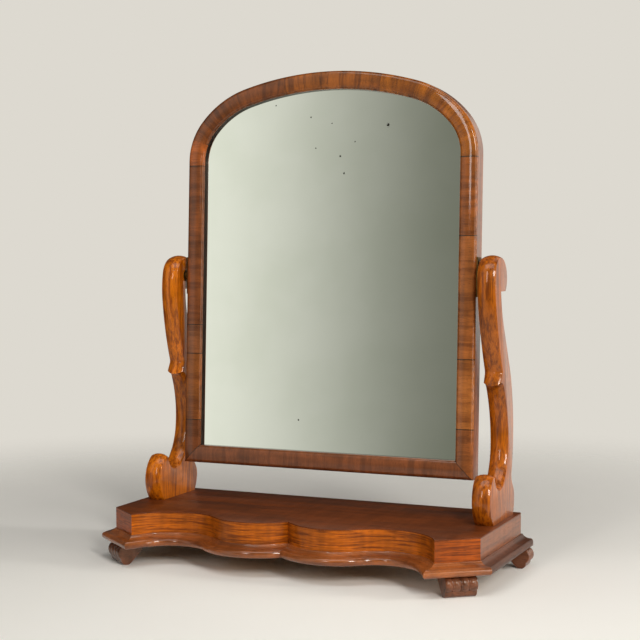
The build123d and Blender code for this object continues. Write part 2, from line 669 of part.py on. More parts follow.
def rail_piece(kind):
    plane = Plane(origin=(0, 0, 0), x_dir=(0, 0, -1), z_dir=(1, 0, 0))
    solid = extrude(plane * frame_section(kind, 0.0, -1.0), amount=FRAME_HALF, dir=(1, 0, 0))
    solid = solid - beyond((FRAME_HALF, 0, 0), (1, 0, 1))
    return solid + flip(solid)


def inside(inset, front, thick):
    """A sheet that follows the frame, its edge inset from the outer side."""
    edges = []
    for centre, radius, first, last in ARCH:
        edges.append(swing(centre, radius - inset, 90 - first, 90 - last))
    side = FRAME_HALF - inset
    edges += [line2((side, SPRING), (side, inset)), line2((side, inset), (0, inset)),
              line2((0, inset), (0, FRAME_H - inset))]
    half = extrude(Plane.XZ * area(edges), amount=thick, dir=(0, 1, 0))
    half = Pos(0, front, 0) * half
    return half + flip(half)


hang = Pos(0, -PIVOT_D, PIVOT_Z) * Rot(-TILT, 0, 0) * Pos(0, 0, -PIVOT_B)
mirror_nodes = {}
arch_veneer = arch_piece("veneer")
stile_veneer = stile_piece("veneer")
strip = arch_veneer + stile_veneer


def between(solid, low, high):
    return solid & block(0, BASE_W, -BIG, BIG, low, high)


def cuts(names, joints, top):
    low = 0.0
    for name, high in zip(names, joints + (top,)):
        yield name, low, high
        low = high


for name, low, high in cuts(("foot", "lower", "middle", "upper"), RIGHT_JOINTS, SPRING - STUB):
    mirror_nodes["stile_veneer_right_" + name] = between(strip, low, high)
shoulder_centre = (ARCH[-1][0][0], 0, ARCH[-1][0][1])
a = math.radians(SHOULDER_JOINT)
past_shoulder = beyond(shoulder_centre, (-math.sin(a), 0, math.cos(a)))
left_low = strip - past_shoulder
for name, low, high in cuts(("foot", "lower", "middle", "upper"), LEFT_JOINTS, FRAME_H):
    mirror_nodes["stile_veneer_left_" + name] = flip(between(left_low, low, high))


def past_crown(x):
    """Everything beyond a radial joint of the crown, on the +X side."""
    span = ARCH_R[0]
    return beyond((0, 0, FRAME_H - span), (math.sqrt(span ** 2 - x ** 2), 0, -x))


right_arch = strip - block(0, BASE_W, -BIG, BIG, -1, SPRING - STUB)
left_arch = flip(strip & past_shoulder)
mirror_nodes["arch_veneer_right"] = right_arch & past_crown(CROWN_JOINTS[1])
mirror_nodes["arch_veneer_left"] = left_arch - past_crown(CROWN_JOINTS[0])
crown_right = right_arch - past_crown(CROWN_JOINTS[1])
crown_left = left_arch & past_crown(CROWN_JOINTS[0])
mirror_nodes["arch_veneer_crown"] = crown_right + crown_left
mirror_nodes["bottom_rail_veneer"] = rail_piece("veneer")

plate_pins = []
for z in (PIVOT_B - PLATE_SCREW_Z, PIVOT_B + PLATE_SCREW_Z):
    plate_pins.append((FRAME_HALF + PLATE_T, z))


def side_screw(x, z, grow=0.0, over=0.0):
    return Pos(x, 0, z) * Rot(0, -90, 0) * screw(PLATE_SCREW, grow, over)


plate_cut = fused([side_screw(x, z, FIT, PLATE_T) for x, z in plate_pins])
plate_screws = [side_screw(x, z) for x, z in plate_pins]

# backboard pins, through the board into its seat
pin_in = FRAME_W - (BOARD_REBATE + GLASS_REBATE) / 2
pin_head = board_w + BOARD_T


def board_pin(x, z, grow=0.0):
    return Pos(x, pin_head, z) * Rot(90, 0, 0) * screw(BOARD_PIN, grow)


pin_spots = []
stile_run = SPRING - 2 * FRAME_W
stile_count = int(stile_run // BOARD_PIN_PITCH) + 1
for i in range(stile_count):
    pin_spots.append((FRAME_HALF - pin_in, 2 * FRAME_W + i * stile_run / (stile_count - 1)))
rail_run = FRAME_HALF - 2 * FRAME_W
rail_count = int(rail_run // BOARD_PIN_PITCH) + 1
for i in range(rail_count):
    pin_spots.append((BOARD_PIN_PITCH / 2 + i * (rail_run - BOARD_PIN_PITCH / 2) / (rail_count - 1),
                      pin_in))
for centre, radius, first, last in ARCH:
    x, z = at(centre, radius - pin_in, 90 - (first + last) / 2)
    pin_spots.append((x, z))
pin_holes = fused([board_pin(x, z, FIT) for x, z in pin_spots])
board_pins = [board_pin(x, z) for x, z in pin_spots]
mirror_nodes["backboard_pins"] = board_pins + [flip(p) for p in board_pins]

stile = stile_piece("core") - plate_cut - pin_holes
mirror_nodes["frame_stile_right"] = stile
mirror_nodes["frame_stile_left"] = flip(stile)
arch = arch_piece("core") - pin_holes
mirror_nodes["frame_arch_right"] = arch
mirror_nodes["frame_arch_left"] = flip(arch)
all_holes = pin_holes + flip(pin_holes)
mirror_nodes["frame_bottom_rail"] = rail_piece("core") - all_holes
mirror_nodes["mirror_glass"] = inside(FRAME_W - GLASS_REBATE + GLASS_PLAY, glass_w, GLASS_T)
board_inset = FRAME_W - BOARD_REBATE + BOARD_PLAY
mirror_nodes["backboard"] = inside(board_inset, board_w, BOARD_T) - all_holes

# glazing blocks hold the glass against its rebate
block_l, block_w = GLAZING_BLOCK
gap_front = glass_w + GLASS_T
edge_x = FRAME_HALF - (FRAME_W - GLASS_REBATE)
edge_z = FRAME_W - GLASS_REBATE
third = (SPRING - edge_z) / 3
glazing = []
for z in (edge_z + third, edge_z + 2 * third):
    glazing.append(block(edge_x - block_w, edge_x, gap_front, board_w, z - block_l / 2, z + block_l / 2))
glazing.append(block(edge_x / 2 - block_l / 2, edge_x / 2 + block_l / 2, gap_front, board_w,
                     edge_z, edge_z + block_w))
sheet = inside(edge_z, gap_front, board_w - gap_front)
top_z = FRAME_H - edge_z
glazing.append((sheet - inside(edge_z + block_w, gap_front, board_w - gap_front))
               & block(edge_x / 3, edge_x / 3 + block_l, gap_front, board_w, 0, top_z)
               & beyond((0, 0, SPRING), (0, 0, 1)))
mirror_nodes["glazing_blocks"] = glazing + [flip(g) for g in glazing]

# brass plate with its stud, on each side of the frame
collar_end = flange_face - PIVOT_GAP


def stud(x0, x1, radius):
    return Pos((x0 + x1) / 2, 0, PIVOT_B) * Rot(0, 90, 0) * Cylinder(radius, x1 - x0)


plate_x = FRAME_HALF + PLATE_T
plate = block(FRAME_HALF, plate_x, -PLATE_W / 2, PLATE_W / 2, PIVOT_B - PLATE_L / 2, PIVOT_B + PLATE_L / 2)
plate -= plate_cut
plate += stud(plate_x, collar_end, COLLAR_R) + stud(collar_end, CHEEK + PIN_IN, PIN_R)
mirror_nodes["pivot_plate_right"] = plate
mirror_nodes["pivot_plate_left"] = flip(plate)
mirror_nodes["plate_screws"] = plate_screws + [flip(s) for s in plate_screws]

for name, shape in mirror_nodes.items():
    if isinstance(shape, list):
        nodes[name] = [hang * s for s in shape]
    else:
        nodes[name] = hang * shape

os.makedirs("parts", exist_ok=True)
settle = Pos(0, DEPTH / 2, 0)
for name, shape in nodes.items():
    solids = []
    for piece in (shape if isinstance(shape, list) else [shape]):
        solids += list((settle * piece).solids())
    export_step(Compound(children=solids) if len(solids) > 1 else solids[0], f"parts/{name}.step")
print(len(nodes), "nodes; depth", round(DEPTH, 1), "springing", round(SPRING, 1),
      "frame half", round(FRAME_HALF, 2), "cheek", round(CHEEK, 2),
      "pivot", round(DEPTH / 2 - PIVOT_D, 2), round(PIVOT_Z, 2))
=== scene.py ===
import bpy
import math
from mathutils import Matrix, Vector


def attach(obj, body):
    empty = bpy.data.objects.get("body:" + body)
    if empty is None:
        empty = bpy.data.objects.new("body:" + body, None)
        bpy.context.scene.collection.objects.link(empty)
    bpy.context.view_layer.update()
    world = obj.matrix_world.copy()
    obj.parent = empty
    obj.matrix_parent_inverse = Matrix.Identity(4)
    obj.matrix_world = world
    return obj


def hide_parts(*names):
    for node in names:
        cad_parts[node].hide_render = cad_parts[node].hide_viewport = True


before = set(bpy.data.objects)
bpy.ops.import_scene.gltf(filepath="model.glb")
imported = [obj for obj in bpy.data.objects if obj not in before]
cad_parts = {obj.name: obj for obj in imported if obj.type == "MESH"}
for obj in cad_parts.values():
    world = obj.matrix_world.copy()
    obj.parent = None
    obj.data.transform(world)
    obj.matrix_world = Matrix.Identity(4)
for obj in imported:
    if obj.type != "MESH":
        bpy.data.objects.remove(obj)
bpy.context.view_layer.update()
bpy.ops.object.select_all(action="DESELECT")

# Lengths are in metres, angles in degrees, and colours in 0 to 255 unless they are shares.

# Where the view is taken from, and how the camera is turned and tipped.
CAMERA_PLACE = (0.9100, -1.9636, 0.4925)
CAMERA_YAW = 24.282
CAMERA_DOWN = 3.033
CAMERA_ROLL = -0.247
CAMERA_LENS = 80.1          # millimetres, on a sensor as wide as a small film frame
CAMERA_SENSOR = 36.0

# The looking glass hangs between the supports and leans back a little at rest.
# What follows on the frame is measured on it, upright, from the middle of its bottom edge.
LEAN_BACK = 2.8
FOOT_OF_FRAME = (0.0, 0.06979, 0.13786)
FRAME_HALF = 0.24702        # half of the frame's width, for the mitres at its foot
LEFT_JOINTS = (0.070, 0.178, 0.225)             # heights of the joints between the leaves
RIGHT_JOINTS = (0.076, 0.181, 0.367, 0.4854)
PATCH_FROM = 0.4832         # the lighter piece at the top of the left stile starts here
MIDDLE_OF_GLASS = (0.0, 0.0, 0.31)

# What the cross-banding turns about: across, up and radius.
CROWN_TURN = (0.0, 0.109, 0.503)
LEFT_HAUNCH_TURN = (-0.1026, 0.453, 0.144)
RIGHT_HAUNCH_TURN = (0.1026, 0.453, 0.144)
CORE_TURN = (0.0, 0.32, 0.27)

LINE_HALF = 0.0007          # half of a glue line's width
GLUE_LINE = (34, 16, 10)
# Painted shade on the frame's inner lip: faces that look in towards the glass are darkened to stand
# for the shadow at the sight edge and its reflection in the glass.
LIP_SHADE = (30, 15, 11)
LIP_FROM, LIP_FULL = -0.04, -0.12       # how far a face looks inward before it darkens
PATCH_GLOW = (1.75, 1.6, 1.2, 1.0)
SHELLAC = (1.0, 0.74, 0.42, 1.0)        # warm reflection of the old polish
LEAF_PORE = (58, 26, 12)

# Cells per metre of the wood's figure, along the grain and twice across it.
FIBRES = (38.0, 950.0, 950.0)
PORES = (75.0, 1500.0, 1500.0)
CLOUDS = (11.0, 26.0, 26.0)
WAVES = (95.0, 16.0, 16.0)
STREAK_STRETCH = 0.055      # width of a streak as a share of its length

# Eased arrises.
MERGE = 0.00002
FLAT_WITHIN = 0.4           # faces that turn less than this are joined into one
SHARP_FROM = 32.0           # edges that turn more than this are eased
SMOOTH_WITHIN = 40.0
ARRIS_STEPS = 3
SUPPORT_ARRIS = 0.0009
TOP_ARRIS = 0.0006

# The floor runs back from a near edge that the glass doesn't see, and fades into the room.
FLOOR_SIZE = 14.0
FLOOR_BACK = 4.2
FADE_FROM = 0.45
FADE_TO = 1.7

# What glass and polish see of the room, by azimuth from the middle of the front, right
# being positive: each part fades in between its two angles, over the parts before it.
BRIGHT_WALL = (247, 248, 239)
ROOM_PARTS = (((-31, -18), (121, 123, 113)),    # the wall in shade
              ((-17, 0), (62, 58, 52)),         # the dim side
              ((-36, -58), (66, 64, 58)),       # the dim corner beyond the bright wall
              ((110, 140), (252, 244, 234)))    # the window behind, on the right
ROOM_GLOW = (88, 87, 85)                        # what it sheds on the wood
ROOM_WALL = (221, 217, 208)                     # what the camera sees of it

# Lamps: place, width, height, power and colour; each looks at the middle of the piece.
LIT_MIDDLE = (0.0, 0.0, 0.35)
LAMPS = {"window": ((1.9, -1.9, 1.6), 0.45, 0.9, 38.0, (1.0, 0.98, 0.95)),
         "tall_window": ((2.5, -1.1, 0.9), 0.6, 1.8, 18.0, (1.0, 0.98, 0.95)),
         "front_window": ((-0.25, -2.9, 1.5), 0.35, 1.2, 13.0, (1.0, 0.99, 0.97)),
         "side_window": ((2.35, 0.6, 0.9), 0.32, 1.7, 26.0, (1.0, 0.99, 0.97)),
         "ceiling": ((0.2, -0.9, 2.3), 2.0, 1.0, 17.0, (1.0, 1.0, 1.0)),
         "fill": ((-2.2, -1.6, 1.4), 1.4, 1.4, 1.2, (1.0, 1.0, 1.0))}


# ------------------------------------------------------------------- the camera
def stand_camera():
    yaw, down, roll = (math.radians(a) for a in (CAMERA_YAW, CAMERA_DOWN, CAMERA_ROLL))
    camera = bpy.data.cameras.new("camera")
    camera.sensor_width = CAMERA_SENSOR
    camera.lens = CAMERA_LENS
    holder = bpy.data.objects.new("camera", camera)
    bpy.context.scene.collection.objects.link(holder)
    turn = Matrix.Rotation(yaw, 4, "Z") @ Matrix.Rotation(math.pi / 2 - down, 4, "X")
    turn = turn @ Matrix.Rotation(roll, 4, "Z")
    holder.matrix_world = Matrix.Translation(CAMERA_PLACE) @ turn
    bpy.context.scene.camera = holder
    bpy.context.scene.view_settings.view_transform = "Standard"


# ------------------------------------------------------- putting shaders together
def tint(red, green, blue):
    """A colour read off the wood as 0 to 255, as the shader wants it."""
    def level(v):
        v = v / 255
        return v / 12.92 if v <= 0.04045 else ((v + 0.055) / 1.055) ** 2.4
    return (level(red), level(green), level(blue), 1.0)


def feed(tree, node, inputs):
    """Each input gets a value or the socket that feeds it."""
    for name, value in inputs.items():
        if isinstance(value, bpy.types.NodeSocket):
            tree.links.new(value, node.inputs[name])
        else:
            node.inputs[name].default_value = value


def put(tree, kind, inputs=None, **settings):
    """One shader node with its settings and what goes into it."""
    node = tree.nodes.new("ShaderNode" + kind)
    for name, value in settings.items():
        setattr(node, name, value)
    feed(tree, node, inputs or {})
    return node


def sums(tree, operation, first, second=0.0, third=0.0):
    node = put(tree, "Math", {0: first, 1: second, 2: third}, operation=operation)
    return node.outputs[0]


def ramp(tree, value, low, high, bottom=0.0, top=1.0):
    node = put(tree, "MapRange", {0: value, 1: low, 2: high, 3: bottom, 4: top})
    node.interpolation_type = "SMOOTHSTEP"
    return node.outputs[0]


def blend(tree, share, first, second, how="MIX"):
    node = put(tree, "Mix", {0: share, 6: first, 7: second}, data_type="RGBA", blend_type=how)
    return node.outputs[2]


def stretched(tree, vector, scale, detail=3.0, roughness=0.5, offset=(0.0, 0.0, 0.0)):
    """Noise whose cells are drawn out: scale is cells per metre on each axis."""
    moved = put(tree, "Mapping", {"Vector": vector, "Scale": scale, "Location": offset})
    cloud = put(tree, "TexNoise", {"Vector": moved.outputs[0], "Scale": 1.0, "Detail": detail,
                                   "Roughness": roughness})
    return cloud.outputs["Fac"]


def effect(name, takes, gives):
    """An empty shader group and its two ends."""
    tree = bpy.data.node_groups.new(name, "ShaderNodeTree")
    for label, kind, start in takes:
        socket = tree.interface.new_socket(label, in_out="INPUT",
                                           socket_type="NodeSocket" + kind)
        if start is not None:
            socket.default_value = start
    for label, kind in gives:
        tree.interface.new_socket(label, in_out="OUTPUT", socket_type="NodeSocket" + kind)
    have = tree.nodes.new("NodeGroupInput").outputs
    give = tree.nodes.new("NodeGroupOutput").inputs
    return tree, have, give


def use(tree, group, inputs):
    """A shader group put to work, and what comes out of it."""
    node = tree.nodes.new("ShaderNodeGroup")
    node.node_tree = group
    feed(tree, node, inputs)
    return node.outputs


def make_wood_figure():
    """Streaks, fibres, ripple and open pores; X of the vector runs with the grain."""
    tree, have, give = effect("wood_figure", [
        ("Vector", "Vector", None), ("Ground", "Color", None), ("Streak", "Color", None),
        ("Pore", "Color", None), ("Streak Width", "Float", 0.009), ("Contrast", "Float", 1.0),
        ("Ripple", "Float", 0.2), ("Rough", "Float", 0.35)],
        [("Color", "Color"), ("Roughness", "Float"), ("Height", "Float")])
    vector = have["Vector"]
    across = sums(tree, "DIVIDE", 1.0, have["Streak Width"])
    along = sums(tree, "MULTIPLY", across, STREAK_STRETCH)
    scale = put(tree, "CombineXYZ", {0: along, 1: across, 2: across}).outputs[0]
    wide = put(tree, "VectorMath", {0: vector, 1: scale}, operation="MULTIPLY").outputs[0]
    bands = put(tree, "TexNoise", {"Vector": wide, "Scale": 1.0, "Detail": 4.0,
                                   "Roughness": 0.62, "Distortion": 0.25}).outputs["Fac"]
    fibres = stretched(tree, vector, FIBRES, 2.0)
    pores = stretched(tree, vector, PORES, 1.0, 0.4, (3.1, 7.7, 1.3))
    clouds = stretched(tree, vector, CLOUDS, 2.0, 0.5, (5.0, 2.0, 9.0))
    waves = stretched(tree, vector, WAVES, 1.0, 0.4, (8.0, 4.0, 2.0))
    share = sums(tree, "MULTIPLY", ramp(tree, bands, 0.40, 0.66), have["Contrast"])
    colour = blend(tree, share, have["Ground"], have["Streak"])
    depth = sums(tree, "MULTIPLY_ADD", ramp(tree, clouds, 0.3, 0.7), 0.34, 0.83)
    depth = sums(tree, "MULTIPLY", depth, ramp(tree, fibres, 0.3, 0.7, 0.88, 1.1))
    sway = sums(tree, "MULTIPLY", ramp(tree, waves, 0.3, 0.7, -0.5, 0.5), have["Ripple"])
    depth = sums(tree, "MULTIPLY", depth, sums(tree, "ADD", sway, 1.0))
    shade = put(tree, "CombineColor", {0: depth, 1: depth, 2: depth}).outputs[0]
    colour = blend(tree, 1.0, colour, shade, "MULTIPLY")
    open_pore = ramp(tree, pores, 0.63, 0.72)
    colour = blend(tree, sums(tree, "MULTIPLY", open_pore, 0.55), colour, have["Pore"])
    tree.links.new(colour, give["Color"])
    rough = sums(tree, "MULTIPLY_ADD", open_pore, 0.18, have["Rough"])
    rough = sums(tree, "MULTIPLY_ADD", ramp(tree, clouds, 0.35, 0.7), 0.05, rough)
    tree.links.new(rough, give["Roughness"])
    relief = sums(tree, "MULTIPLY_ADD", open_pore, -1.0, sums(tree, "MULTIPLY", fibres, 0.35))
    tree.links.new(relief, give["Height"])
    return tree


def make_round_the_arch():
    """Turns the grain to lie square across an arched moulding about one centre."""
    tree, have, give = effect("round_the_arch", [
        ("Vector", "Vector", None), ("Centre X", "Float", 0.0), ("Centre Z", "Float", 0.0),
        ("Radius", "Float", 0.2)], [("Vector", "Vector")])
    parts = put(tree, "SeparateXYZ", {0: have["Vector"]}).outputs
    x = sums(tree, "SUBTRACT", parts["X"], have["Centre X"])
    z = sums(tree, "SUBTRACT", parts["Z"], have["Centre Z"])
    out = sums(tree, "SQRT", sums(tree, "ADD", sums(tree, "MULTIPLY", x, x),
                                  sums(tree, "MULTIPLY", z, z)))
    swept = sums(tree, "MULTIPLY", sums(tree, "ARCTAN2", x, z), have["Radius"])
    whole = put(tree, "CombineXYZ", {0: out, 1: parts["Y"], 2: swept})
    tree.links.new(whole.outputs[0], give["Vector"])
    return tree


def make_foxing():
    """One dark spot where the silvering has gone, with a broken edge."""
    tree, have, give = effect("foxing", [
        ("Vector", "Vector", None), ("Place", "Vector", None), ("Size", "Float", 0.002)],
        [("Mask", "Float")])
    flat = put(tree, "VectorMath", {0: have["Vector"], 1: (1.0, 0.0, 1.0)}, operation="MULTIPLY")
    away = put(tree, "VectorMath", {0: flat.outputs[0], 1: have["Place"]}, operation="DISTANCE")
    crumbs = stretched(tree, have["Vector"], (700.0, 700.0, 700.0), 2.0)
    size = sums(tree, "MULTIPLY", have["Size"], ramp(tree, crumbs, 0.3, 0.7, 0.55, 1.25))
    edge = sums(tree, "DIVIDE", away.outputs["Value"], size)
    tree.links.new(ramp(tree, edge, 1.0, 0.45), give["Mask"])
    return tree


wood_figure = make_wood_figure()
round_the_arch = make_round_the_arch()
foxing = make_foxing()

# How the figure is turned so that its grain runs along an axis.
GRAIN = {"x": (0.0, 0.0, 0.0), "y": (0.0, 0.0, -math.pi / 2), "z": (0.0, math.pi / 2, 0.0)}


def new_finish(name):
    """An empty material, its tree and its one shader."""
    finish = bpy.data.materials.new(name)
    finish.use_nodes = True
    tree = finish.node_tree
    tree.nodes.clear()
    shader = put(tree, "BsdfPrincipled")
    tree.links.new(shader.outputs[0], put(tree, "OutputMaterial").inputs[0])
    return finish, tree, shader


def with_the_frame(tree):
    """Object coordinates turned upright with the leaning frame, zero at its foot."""
    place = put(tree, "TexCoord").outputs["Object"]
    upright = put(tree, "Mapping", {"Vector": place, "Location": FOOT_OF_FRAME,
                                    "Rotation": (-math.radians(LEAN_BACK), 0.0, 0.0)},
                  vector_type="TEXTURE")
    return upright.outputs[0]


def glue_lines(tree, vector, joints, mitred):
    """Dark hairlines where leaves of veneer meet, in the frame's own coordinates."""
    parts = put(tree, "SeparateXYZ", {0: vector}).outputs
    away = [sums(tree, "SUBTRACT", parts["Z"], joint) for joint in joints]
    if mitred:
        reach = sums(tree, "ADD", sums(tree, "ABSOLUTE", parts["X"]), parts["Z"])
        away.append(sums(tree, "SUBTRACT", reach, FRAME_HALF))
    lines = None
    for distance in away:
        line = ramp(tree, sums(tree, "ABSOLUTE", distance), LINE_HALF * 1.6, LINE_HALF * 0.6)
        lines = line if lines is None else sums(tree, "MAXIMUM", lines, line)
    return lines


def facing_inward(tree):
    """1 on the faces of the frame that look towards the middle of the glass; the mask of the
    painted shade on the inner lip.
    """
    place = put(tree, "VectorMath", {0: with_the_frame(tree), 1: MIDDLE_OF_GLASS},
                operation="SUBTRACT").outputs[0]
    facing = put(tree, "TexCoord").outputs["Normal"]
    toward = put(tree, "VectorMath", {0: place, 1: facing}, operation="DOT_PRODUCT")
    return ramp(tree, toward.outputs["Value"], LIP_FROM, LIP_FULL)


def wood(name, ground, streak, pore, grain="x", width=0.009, contrast=1.0, ripple=0.2,
         rough=0.35, polish=0.6, gloss=0.08, arch=None, leaning=False, shift=0.0,
         drawn=(1.0, 1.0, 1.0), joints=(), mitred=False, sheen=0.3, painted_lip_shade=False,
         patch_from=None):
    """Wood with its figure; polish is how much clear French polish lies over it.
    drawn slows the figure down on an axis, as in a veneer that is bent that way.
    leaning wood goes with the frame, and its joints and patch are heights on it."""
    finish, tree, shader = new_finish(name)
    vector = with_the_frame(tree) if leaning else put(tree, "TexCoord").outputs["Object"]
    glue = glue_lines(tree, vector, joints, mitred)
    if arch:
        vector = use(tree, round_the_arch, {"Vector": vector, "Centre X": arch[0],
                                            "Centre Z": arch[1], "Radius": arch[2]})[0]
    vector = put(tree, "Mapping", {"Vector": vector, "Rotation": GRAIN[grain],
                                   "Location": (shift, shift * 0.7, shift * 0.3),
                                   "Scale": drawn}).outputs[0]
    figure = use(tree, wood_figure, {
        "Vector": vector, "Ground": tint(*ground), "Streak": tint(*streak), "Pore": tint(*pore),
        "Streak Width": width, "Contrast": contrast, "Ripple": ripple, "Rough": rough})
    colour = figure["Color"]
    if glue is not None:
        colour = blend(tree, glue, colour, tint(*GLUE_LINE))
    if patch_from is not None:
        height = put(tree, "SeparateXYZ", {0: with_the_frame(tree)}).outputs["Z"]
        above = ramp(tree, height, patch_from - LINE_HALF, patch_from + LINE_HALF)
        colour = blend(tree, above, colour, blend(tree, 1.0, colour, PATCH_GLOW, "MULTIPLY"))
    # Painted shade: the faces that look in towards the glass are darkened with LIP_SHADE.
    if painted_lip_shade:
        colour = blend(tree, facing_inward(tree), colour, tint(*LIP_SHADE))
    tree.links.new(colour, shader.inputs["Base Color"])
    tree.links.new(figure["Roughness"], shader.inputs["Roughness"])
    bump = put(tree, "Bump", {"Strength": 0.5, "Distance": 0.00006, "Height": figure["Height"]})
    tree.links.new(bump.outputs[0], shader.inputs["Normal"])
    shader.inputs["Coat Weight"].default_value = polish
    shader.inputs["Coat Roughness"].default_value = gloss
    shader.inputs["Specular IOR Level"].default_value = sheen
    shader.inputs["Specular Tint"].default_value = SHELLAC
    return finish


def metal(name, colour, rough):
    """Old metal with tarnish and fine scratches."""
    finish, tree, shader = new_finish(name)
    place = put(tree, "TexCoord").outputs["Object"]
    tarnish = stretched(tree, place, (140.0, 140.0, 140.0), 4.0, 0.6)
    worn = tuple(c * 0.55 for c in tint(*colour)[:3]) + (1.0,)
    tree.links.new(blend(tree, ramp(tree, tarnish, 0.4, 0.7), tint(*colour), worn),
                   shader.inputs["Base Color"])
    tree.links.new(ramp(tree, tarnish, 0.3, 0.8, rough, rough + 0.25), shader.inputs["Roughness"])
    scratch = stretched(tree, place, (60.0, 2500.0, 2500.0), 2.0)
    bump = put(tree, "Bump", {"Strength": 0.3, "Distance": 0.00003, "Height": scratch})
    tree.links.new(bump.outputs[0], shader.inputs["Normal"])
    shader.inputs["Metallic"].default_value = 1.0
    return finish


# Spots in the silvering: across from the middle, up from the foot, radius.
SPOTS = ((-0.094, 0.577, 0.0016), (-0.032, 0.556, 0.0019), (0.004, 0.545, 0.0015),
         (-0.023, 0.507, 0.0017), (0.019, 0.493, 0.0023), (0.099, 0.539, 0.0040),
         (0.044, 0.515, 0.0017), (0.026, 0.466, 0.0024), (-0.046, 0.077, 0.0020))


def silvered_glass():
    """The silvered back of the plate, with its haze and spots."""
    finish, tree, shader = new_finish("silvered_glass")
    place = with_the_frame(tree)
    spots = None
    for across, up, size in SPOTS:
        mask = use(tree, foxing, {"Vector": place, "Place": (across, 0.0, up), "Size": size})[0]
        spots = mask if spots is None else sums(tree, "MAXIMUM", spots, mask)
    haze = stretched(tree, place, (7.0, 7.0, 7.0), 3.0)
    silver = blend(tree, ramp(tree, haze, 0.35, 0.7), tint(238, 240, 232), tint(231, 234, 224))
    tree.links.new(blend(tree, spots, silver, tint(38, 36, 30)), shader.inputs["Base Color"])
    tree.links.new(ramp(tree, spots, 0.0, 1.0, 0.015, 0.5), shader.inputs["Roughness"])
    shader.inputs["Metallic"].default_value = 1.0
    return finish


# ------------------------------------------------------------- what is made of what
def finish_the_platform():
    """Veneers, mouldings and feet, and the pine that carries them."""
    bent = (1.0, 0.06, 1.0)
    top = wood("top_mahogany", (106, 51, 21), (84, 39, 15), (44, 19, 8), grain="x", width=0.020,
               contrast=0.6, polish=0.3, gloss=0.22, rough=0.5, sheen=0.1)
    frieze = wood("frieze_mahogany", (176, 88, 8), (112, 48, 3), (52, 18, 3), grain="x",
                  width=0.0028, ripple=0.28, polish=0.14, gloss=0.12, drawn=bent)
    cant = wood("cant_mahogany", (162, 72, 5), (108, 42, 3), (52, 18, 3), grain="x",
                width=0.003, polish=0.2, gloss=0.14, drawn=bent)
    side = wood("side_mahogany", (128, 70, 34), (98, 50, 24), (52, 24, 12), grain="y",
                width=0.007, polish=0.45, gloss=0.16)
    moulding = wood("moulding_mahogany", (148, 80, 36), (110, 54, 22), (50, 22, 8), grain="x",
                    width=0.010, polish=0.9, gloss=0.13, drawn=(1.0, 0.3, 1.0))
    side_moulding = wood("side_moulding_mahogany", (96, 56, 38), (74, 41, 27), (38, 19, 12),
                         grain="y", width=0.010, polish=0.12, gloss=0.2, sheen=0.1)
    feet = wood("foot_mahogany", (104, 58, 36), (74, 38, 22), (38, 18, 10), grain="x", width=0.008,
                polish=0.6, gloss=0.12)
    ground = wood("carcase_pine", (176, 134, 84), (150, 106, 60), (104, 70, 38), grain="x",
                  width=0.012, polish=0.0, rough=0.62)
    finishes = {"top_veneer": top, "top_board": ground, "back_rail": side, "glue_blocks": ground}
    for part, finish in (("frieze_veneer", frieze), ("cant_veneer", cant), ("side_veneer", side),
                         ("base_moulding_front", moulding), ("base_moulding_cant", moulding),
                         ("base_moulding_side", side_moulding), ("front_foot", feet),
                         ("rear_foot", feet), ("front_block", ground), ("corner_block", ground),
                         ("side_rail", ground)):
        finishes[part + "_left"] = finish
        finishes[part + "_right"] = finish
    return finishes


def finish_the_supports():
    """The two planks are of different colour."""
    polished = dict(grain="z", width=0.0045, contrast=1.0, ripple=0.16, polish=0.5, gloss=0.07)
    left = wood("support_mahogany_left", (200, 106, 8), (134, 60, 5), (58, 22, 4), shift=0.3,
                **polished)
    right = wood("support_mahogany_right", (168, 86, 7), (110, 48, 4), (46, 18, 4), shift=1.7,
                 **polished)
    return {"support_left": left, "support_right": right}


